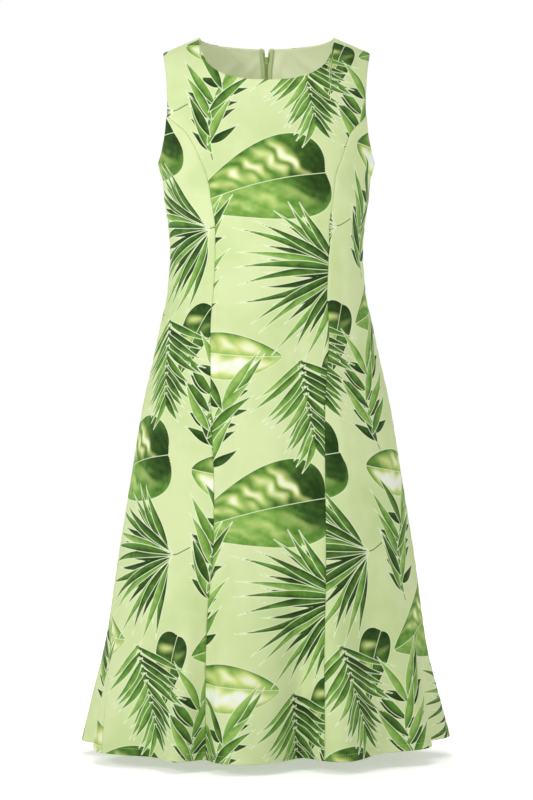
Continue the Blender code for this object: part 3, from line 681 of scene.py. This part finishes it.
def shellMesh(name, columns, rows):
    # closed shell: a fine outer face, a coarser inner one with every third point, and rims between them
    step, thin = cloth["coarse"], (columns[::cloth["coarse"]], rows[::cloth["coarse"]])
    wide, tall, fewWide, fewTall = len(columns), len(rows), len(thin[0]), len(thin[1])
    bm = bmesh.new()
    fine = bmesh.ops.create_grid(bm, x_segments=wide - 1, y_segments=tall - 1, size=0.5)["verts"]
    outerFaces = len(bm.faces)
    rough = bmesh.ops.create_grid(bm, x_segments=fewWide - 1, y_segments=fewTall - 1, size=0.5)["verts"]
    bmesh.ops.reverse_faces(bm, faces=list(bm.faces)[outerFaces:])
    bothFaces = len(bm.faces)
    edges = (  # outer and inner edge, each listed so that the rim faces out
        ([fine[i] for i in range(wide)][::-1], [rough[i] for i in range(fewWide)][::-1]),
        ([fine[(tall - 1) * wide + i] for i in range(wide)], [rough[(fewTall - 1) * fewWide + i] for i in range(fewWide)]),
        ([fine[j * wide] for j in range(tall)], [rough[j * fewWide] for j in range(fewTall)]),
        ([fine[j * wide + wide - 1] for j in range(tall)][::-1],
         [rough[j * fewWide + fewWide - 1] for j in range(fewTall)][::-1]),
    )
    for outer, inner in edges:
        for k in range(len(inner) - 1):
            bm.faces.new(outer[k * step:(k + 1) * step + 1] + [inner[k + 1], inner[k]])
    mesh = bpy.data.meshes.new(name)
    bm.to_mesh(mesh)
    bm.free()
    u = np.concatenate([np.tile(columns, tall), np.tile(thin[0], fewTall)])
    v = np.concatenate([np.repeat(rows, wide), np.repeat(thin[1], fewWide)])
    depth = np.where(np.arange(len(u)) < wide * tall, 0, cloth["thick"])
    at, aside, down = layOut(name, u, v, depth)
    setPoints(mesh, at, aside, down)
    inside, smooth = np.zeros(len(mesh.polygons), np.int32), np.ones(len(mesh.polygons), bool)
    inside[outerFaces:bothFaces], smooth[bothFaces:] = 1, False
    mesh.polygons.foreach_set("material_index", inside)
    mesh.polygons.foreach_set("use_smooth", smooth)
    return mesh, aside, down


def setPoints(mesh, at, aside, down):
    mesh.vertices.foreach_set("co", (at * mm).astype(np.float32).ravel())
    mesh.update()
    corner = np.empty(len(mesh.loops), np.int32)
    mesh.loops.foreach_get("vertex_index", corner)
    flat = (np.stack([aside, -down], -1) * mm)[corner].astype(np.float32)
    mesh.uv_layers.new(name="cloth").data.foreach_set("uv", flat.ravel())


def placed(mesh, name, body, node=None):
    obj = bpy.data.objects.new(name, mesh)
    bpy.context.scene.collection.objects.link(obj)
    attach(obj, body)
    if node:
        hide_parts(node)
    return obj


cut, sewnOn = {}, {name: [] for name in pieces}
for name, piece in pieces.items():
    rows = spacedRows(cloth["step"], 0, chest if piece.topEdge is None else top)
    mesh, aside, down = shellMesh(name, spacedColumns(piece, cloth["step"]), rows)
    for layer, field in paintPrint(name, aside, down).items():
        attribute = mesh.attributes.new(layer, "FLOAT_VECTOR", "POINT")
        attribute.data.foreach_set("vector", field.astype(np.float32).ravel())
    mesh.materials.append(cotton)
    mesh.materials.append(cottonInside)
    obj = placed(mesh, name + "_cloth", "dress", name)
    area = sum(face.area for face in mesh.polygons) / 2
    size = (round(float(np.ptp(aside)) * mm, 3), round(float(np.ptp(down)) * mm, 3))
    cut[name] = (obj, size, round(area, 4))
    print(name, "made", sum(len(face.vertices) - 2 for face in mesh.polygons), "triangles", size, round(area, 4))


def strip(name, wide, tall, place):
    # a grid laid out by place(across, up), both of them shares
    bm = bmesh.new()
    bmesh.ops.create_grid(bm, x_segments=wide, y_segments=tall, size=0.5)
    mesh = bpy.data.meshes.new(name)
    bm.to_mesh(mesh)
    bm.free()
    across, up = np.tile(np.linspace(0, 1, wide + 1), tall + 1), np.repeat(np.linspace(0, 1, tall + 1), wide + 1)
    setPoints(mesh, *place(across, up))
    mesh.shade_smooth()
    return mesh


def wall(obj, thick):
    modifier = obj.modifiers.new("wall", "SOLIDIFY")
    modifier.thickness, modifier.offset = thick * mm, -1


# ---- hem, turned up inside and stitched

hem = {"turn": 12, "thick": 0.4, "step": 5.0, "stitchUp": 11, "pitch": 4.2, "stitch": 2.7, "thread": 0.26}
hemProfile = (  # height over the edge, depth under the outer face
    (12, 2.0), (8, 2.05), (4, 1.95), (1, 1.9), (0, 1.75), (-0.55, 1.3), (-0.7, 0.7), (-0.45, 0.2), (-0.1, 0.02),
)


def hemTurn(name):
    tall = len(hemProfile) - 1

    def place(across, up):
        row = np.round(up * tall).astype(int)
        raised, depth = np.array(hemProfile).T[:, row]
        at, aside, down = layOut(name, across, np.maximum(raised, 0) / spans[0], depth)
        at[:, 2] += np.minimum(raised, 0)
        return at, aside, down + raised

    piece = pieces[name]
    columns = len(spacedColumns(piece, hem["step"], (-1167.0,))) - 1
    mesh = strip(name + "_hem_turn", columns, tall, place)
    mesh.materials.append(cottonInside)
    obj = placed(mesh, name + "_hem_turn", "dress")
    wall(obj, hem["thick"])
    sewnOn[name].append(obj)


def hemStitches():
    bm = bmesh.new()
    for name, piece in pieces.items():
        width = float(readChart(chartAside, piece.high(-1167.0), np.array(-1167.0))
                      - readChart(chartAside, piece.low(-1167.0), np.array(-1167.0)))
        count = int(width / hem["pitch"])
        starts = (np.arange(count) + 0.5) / count
        up = np.full(count, hem["stitchUp"] / spans[0])
        ends = [layOut(name, starts + sign * hem["stitch"] / width / 2, up, 0.0)[0] for sign in (-1, 1)]
        for a, b in zip(*ends):
            threadBetween(bm, a, b, hem["thread"])
    finishSmall(bm, "hem_stitches", "dress", threadMaterial)


def threadBetween(bm, a, b, radius):
    a, b = Vector(a) * mm, Vector(b) * mm
    turned = (b - a).to_track_quat("Z", "Y").to_matrix().to_4x4()
    bmesh.ops.create_cone(bm, cap_ends=True, segments=5, radius1=radius * mm, radius2=radius * mm, depth=(b - a).length,
                          matrix=Matrix.Translation((a + b) / 2) @ turned)


def finishSmall(bm, name, body, material, node=None):
    mesh = bpy.data.meshes.new(name)
    bm.to_mesh(mesh)
    bm.free()
    mesh.materials.append(material)
    return placed(mesh, name, body, node)


for name in pieces:
    hemTurn(name)
hemStitches()
print("hem turned and stitched")


# ---- back facing of plain lining, with the soft pulls of a zip that is sewn in

facing = {"depth": 1.9, "thick": 0.6, "step": 4.0}
facingCreases = (  # aside and height, aside for one down, half length, half width, how far in
    (-26, -15, 0.1, 13, 4.2, 2.4), (-25, -42, -0.7, 17, 4.8, 3.2), (-64, -44, -0.9, 14, 7, 2.8),
    (-48, -24, 0.9, 18, 6, 2.2), (23, -30, -0.3, 15, 4.2, 3.0), (24, -48, 0.5, 13, 4.4, 2.6),
    (64, -32, 1.0, 20, 8, 2.4), (96, -50, -0.6, 20, 8, 2.0), (-100, -60, 0.6, 20, 9, 2.0),
)


def backFacing(side):
    name = "back_" + side

    def place(across, up):
        v = chest + (top - chest) * up
        flat = layOut(name, across, v, 0.0)[0]
        pull = 0
        for x, z, lean, long, wide, deep in facingCreases:
            away = (flat[:, 0] - x - lean * (z - flat[:, 2])) / wide
            pull = pull + deep * np.exp(-(away**2) - ((flat[:, 2] - z) / long) ** 2)
        return layOut(name, across, v, facing["depth"] + pull)

    mesh = strip("facing_" + name, round(170 / facing["step"]), round(135 / facing["step"]), place)
    mesh.materials.append(lining)
    obj = placed(mesh, f"facing_{name}_cloth", "dress", "facing_" + name)
    wall(obj, facing["thick"])


backFacing("left")
backFacing("right")


# ---- zip: woven tapes, nylon coil, slider and pull

zipper = {
    "foot": -570, "tapeTop": -7.5, "tapeFrom": 2.4, "tape": 7, "tapeThick": 0.6, "climb": (-162, -140),
    "depths": (2.0, 3.4), "coilTop": -31, "pitch": 1.25, "tooth": 3.6, "thick": 0.8, "openTop": -13,
    "height": -25, "sliderDepth": 3.6, "pivot": (5.0, -0.8),
}


def tapeDepth(z):
    return np.interp(z, zipper["climb"], zipper["depths"])


def centreBack(x, z, depth):
    # a point aside of the centre back line, some depth under the outer face
    angle = 180 - np.sign(x) * angleAt(x, z)
    return form(angle, z) - np.asarray(depth)[..., None] * outward(angle, z)


def zipTape(side, sign):
    def place(across, up):
        z = zipper["foot"] + (zipper["tapeTop"] - zipper["foot"]) * up
        share = 1 - across if sign > 0 else across
        x = sign * (zipGap(z) + zipper["tapeFrom"] + zipper["tape"] * share)
        return centreBack(x, z, tapeDepth(z)), x, -z

    mesh = strip("zip_tape_" + side, 4, 140, place)
    mesh.materials.append(tapeWeave)
    obj = placed(mesh, f"zip_tape_{side}_cloth", "dress", "zip_tape_" + side)
    wall(obj, zipper["tapeThick"])
    sewnOn["back_" + side].append(obj)


def leanAt(z):
    # how far the centre back leans out, going down
    low, high = form(np.array(180.0), z - 5, folds=False), form(np.array(180.0), z + 5, folds=False)
    return math.atan2(low[1] - high[1], high[2] - low[2])


def zipCoil():
    bm = bmesh.new()
    heights = np.arange(zipper["foot"] + 2, zipper["coilTop"], zipper["pitch"])
    rows = [(0.0, z, zipper["tooth"]) for z in heights]
    for z in np.arange(zipper["coilTop"] + 3, zipper["openTop"], zipper["pitch"]):
        rows += [(sign * (float(zipGap(z)) + 1.7), z, zipper["tooth"] * 0.6) for sign in (-1, 1)]
    for x, z, long in rows:
        at = centreBack(np.array(x + 1e-3), np.array(z), tapeDepth(z) + 0.9)
        place = Matrix.Translation(Vector(at) * mm) @ Matrix.Rotation(leanAt(z), 4, "X")
        size = Matrix.Diagonal((0.6 * mm, zipper["thick"] / 2 * mm, long * mm, 1))
        bmesh.ops.create_cone(bm, cap_ends=True, segments=6, radius1=1, radius2=1, depth=1,
                              matrix=place @ Matrix.Rotation(math.pi / 2, 4, "Y") @ size)
    finishSmall(bm, "zip_coil_teeth", "dress", nylon, "zip_coil")


def sliderPlace():
    z = zipper["height"]
    face = centreBack(np.array(1e-3), np.array(float(z)), zipper["sliderDepth"])
    return Matrix.Translation(Vector(face) * mm) @ Matrix.Rotation(leanAt(z), 4, "X")


def zipSlider():
    boxes = (  # low corner, high corner, narrowing towards the foot
        ((-3, -2.2, -5.5), (3, 0, 5.5), 0.8), ((-1.7, -2.6, -3.8), (1.7, -2.0, 4.4), 0.8),
        ((-1, -0.6, 1.6), (1, 7.2, 4.2), 1), ((-1, 6.0, -4.6), (1, 7.2, 4.0), 0.85), ((-1, 4.1, -4.6), (1, 7.1, -3.4), 0.85),
    )
    bm = bmesh.new()
    for low, high, narrow in boxes:
        low, high = Vector(low) * mm, Vector(high) * mm
        made = bmesh.ops.create_cube(bm, size=1)["verts"]
        bmesh.ops.scale(bm, vec=high - low, verts=made)
        bmesh.ops.scale(bm, vec=(narrow, 1, 1), verts=[v for v in made if v.co.z < 0])
        bmesh.ops.translate(bm, vec=(low + high) / 2, verts=made)
    bmesh.ops.bevel(bm, geom=list(bm.edges), offset=0.35 * mm, segments=2, profile=0.6, affect="EDGES")
    bmesh.ops.transform(bm, matrix=sliderPlace(), verts=bm.verts)
    finishSmall(bm, "zip_slider_body", "dress", zinc, "zip_slider")


def zipPull():
    # flat teardrop with a window at the bar, from a grid whose rows take the outline's width
    shares = (-1, -0.79, -0.58, -0.2, 0.2, 0.58, 0.79, 1)
    levels = (0.55, -0.6, -2.2, -3.9, -5.6, -7.2, -9, -12, -15, -18, -20.6, -22.6, -24, -25, -25.6, -25.9, -26)
    bm = bmesh.new()
    made = bmesh.ops.create_grid(bm, x_segments=len(shares) - 1, y_segments=len(levels) - 1, size=0.5)["verts"]
    for i, vert in enumerate(made):
        level = levels[::-1][i // len(shares)]
        half = 3.4 * math.sqrt(max(1 - (min(level + 22.6, 0) / 3.4) ** 2, 0))
        half = half if level < -22.6 else float(np.interp(level, (-22.6, -9, 0.55), (3.4, 2.5, 2.5)))
        vert.co = Vector((shares[i % len(shares)] * half, zipper["pivot"][0], zipper["pivot"][1] + level)) * mm
    inside = [face for face in bm.faces if abs(face.calc_center_median().x) < 1.2 * mm
              and -7.2 < face.calc_center_median().z / mm - zipper["pivot"][1] < -0.6]
    bmesh.ops.delete(bm, geom=inside, context="FACES")
    bmesh.ops.remove_doubles(bm, verts=bm.verts, dist=0.02 * mm)
    bmesh.ops.transform(bm, matrix=sliderPlace(), verts=bm.verts)
    obj = finishSmall(bm, "zip_pull_plate", "zip_pull", zinc, "zip_pull")
    modifier = obj.modifiers.new("wall", "SOLIDIFY")
    modifier.thickness, modifier.offset = 1.0 * mm, 0
    rounded = obj.modifiers.new("edges", "BEVEL")
    rounded.width, rounded.segments, rounded.limit_method, rounded.angle_limit = 0.22 * mm, 2, "ANGLE", math.radians(40)


zipTape("left", 1)
zipTape("right", -1)
zipCoil()
zipSlider()
zipPull()
print("zip made")


# ---- camera, floor and light

def addStage():
    stage = {"floor": -1.186, "white": "#FFFFFF", "half": 60, "glow": (0.4, 0.7), "reach": (1.35, 2.1)}
    mesh = bpy.data.meshes.new("studio_floor")
    bm = bmesh.new()
    bmesh.ops.create_grid(bm, x_segments=2, y_segments=2, size=stage["half"])
    bmesh.ops.translate(bm, vec=(0, 0, stage["floor"]), verts=bm.verts)
    bm.to_mesh(mesh)
    bm.free()
    floor = bpy.data.objects.new("studio_floor", mesh)
    bpy.context.scene.collection.objects.link(floor)
    # white floor that glows with painted light, evenly near the dress and more further out, so that it meets the white
    # wall without a line
    material, tree, shader = newMaterial("white_floor_painted_glow", 0.9)
    shader.inputs["Base Color"].default_value = linear(stage["white"])
    shader.inputs["Emission Color"].default_value = linear(stage["white"])
    place = addNode(tree, "ShaderNodeTexCoord").outputs["Object"]
    away = addNode(tree, "ShaderNodeVectorMath", {0: place}, operation="LENGTH").outputs["Value"]
    glow = addNode(tree, "ShaderNodeMapRange", {"Value": away, 1: stage["reach"][0], 2: stage["reach"][1],
                   3: stage["glow"][0], 4: stage["glow"][1]})
    # painted light: the floor's emission strength grows with distance from the dress
    tree.links.new(glow.outputs[0], shader.inputs["Emission Strength"])
    mesh.materials.append(material)


def addCamera():
    view = {"distance": 4.3, "height": -0.599, "pixel": 0.00165, "frame": 800, "sensor": 36}
    camera = bpy.data.cameras.new("camera")
    camera.sensor_fit, camera.sensor_height = "VERTICAL", view["sensor"]
    camera.lens = view["sensor"] * view["distance"] / (view["frame"] * view["pixel"])
    camera.clip_end = 100
    obj = bpy.data.objects.new("camera", camera)
    obj.location = (0, -view["distance"], view["height"])
    obj.rotation_euler = (math.radians(90), 0, 0)
    bpy.context.scene.collection.objects.link(obj)
    bpy.context.scene.camera = obj


def addLights():
    lights = (  # place, aim, size, watts
        ((-2.9, -2.9, 1.1), (0, 0, -0.6), 1.3, 58),
        ((2.6, -3.2, 0.4), (0, 0, -0.7), 2.4, 10),
        ((0.0, 2.4, 2.0), (0, 0, -0.4), 2.4, 46),
        ((0.0, -1.3, 1.7), (0, 0, -0.1), 1.0, 15),
    )
    for i, (place, aim, size, watts) in enumerate(lights):
        data = bpy.data.lights.new(f"softbox_{i}", "AREA")
        data.shape, data.size, data.energy = "DISK", size, watts
        obj = bpy.data.objects.new(f"softbox_{i}", data)
        obj.location = place
        back = np.array(place, float) - np.array(aim, float)
        obj.rotation_euler = (math.atan2(math.hypot(back[0], back[1]), back[2]), 0, math.atan2(back[0], -back[1]))
        bpy.context.scene.collection.objects.link(obj)
    world = bpy.data.worlds.new("studio")
    world.use_nodes = True
    tree = world.node_tree
    seen = addNode(tree, "ShaderNodeLightPath").outputs["Is Camera Ray"]
    strength = addNode(tree, "ShaderNodeMapRange", {"Value": seen, 3: 0.36, 4: 1.0})
    background = tree.nodes["Background"]
    background.inputs["Color"].default_value = (1, 1, 1, 1)
    tree.links.new(strength.outputs[0], background.inputs["Strength"])
    bpy.context.scene.world = world
    bpy.context.scene.view_settings.view_transform = "Standard"


addStage()
addCamera()
addLights()
print("stage set")
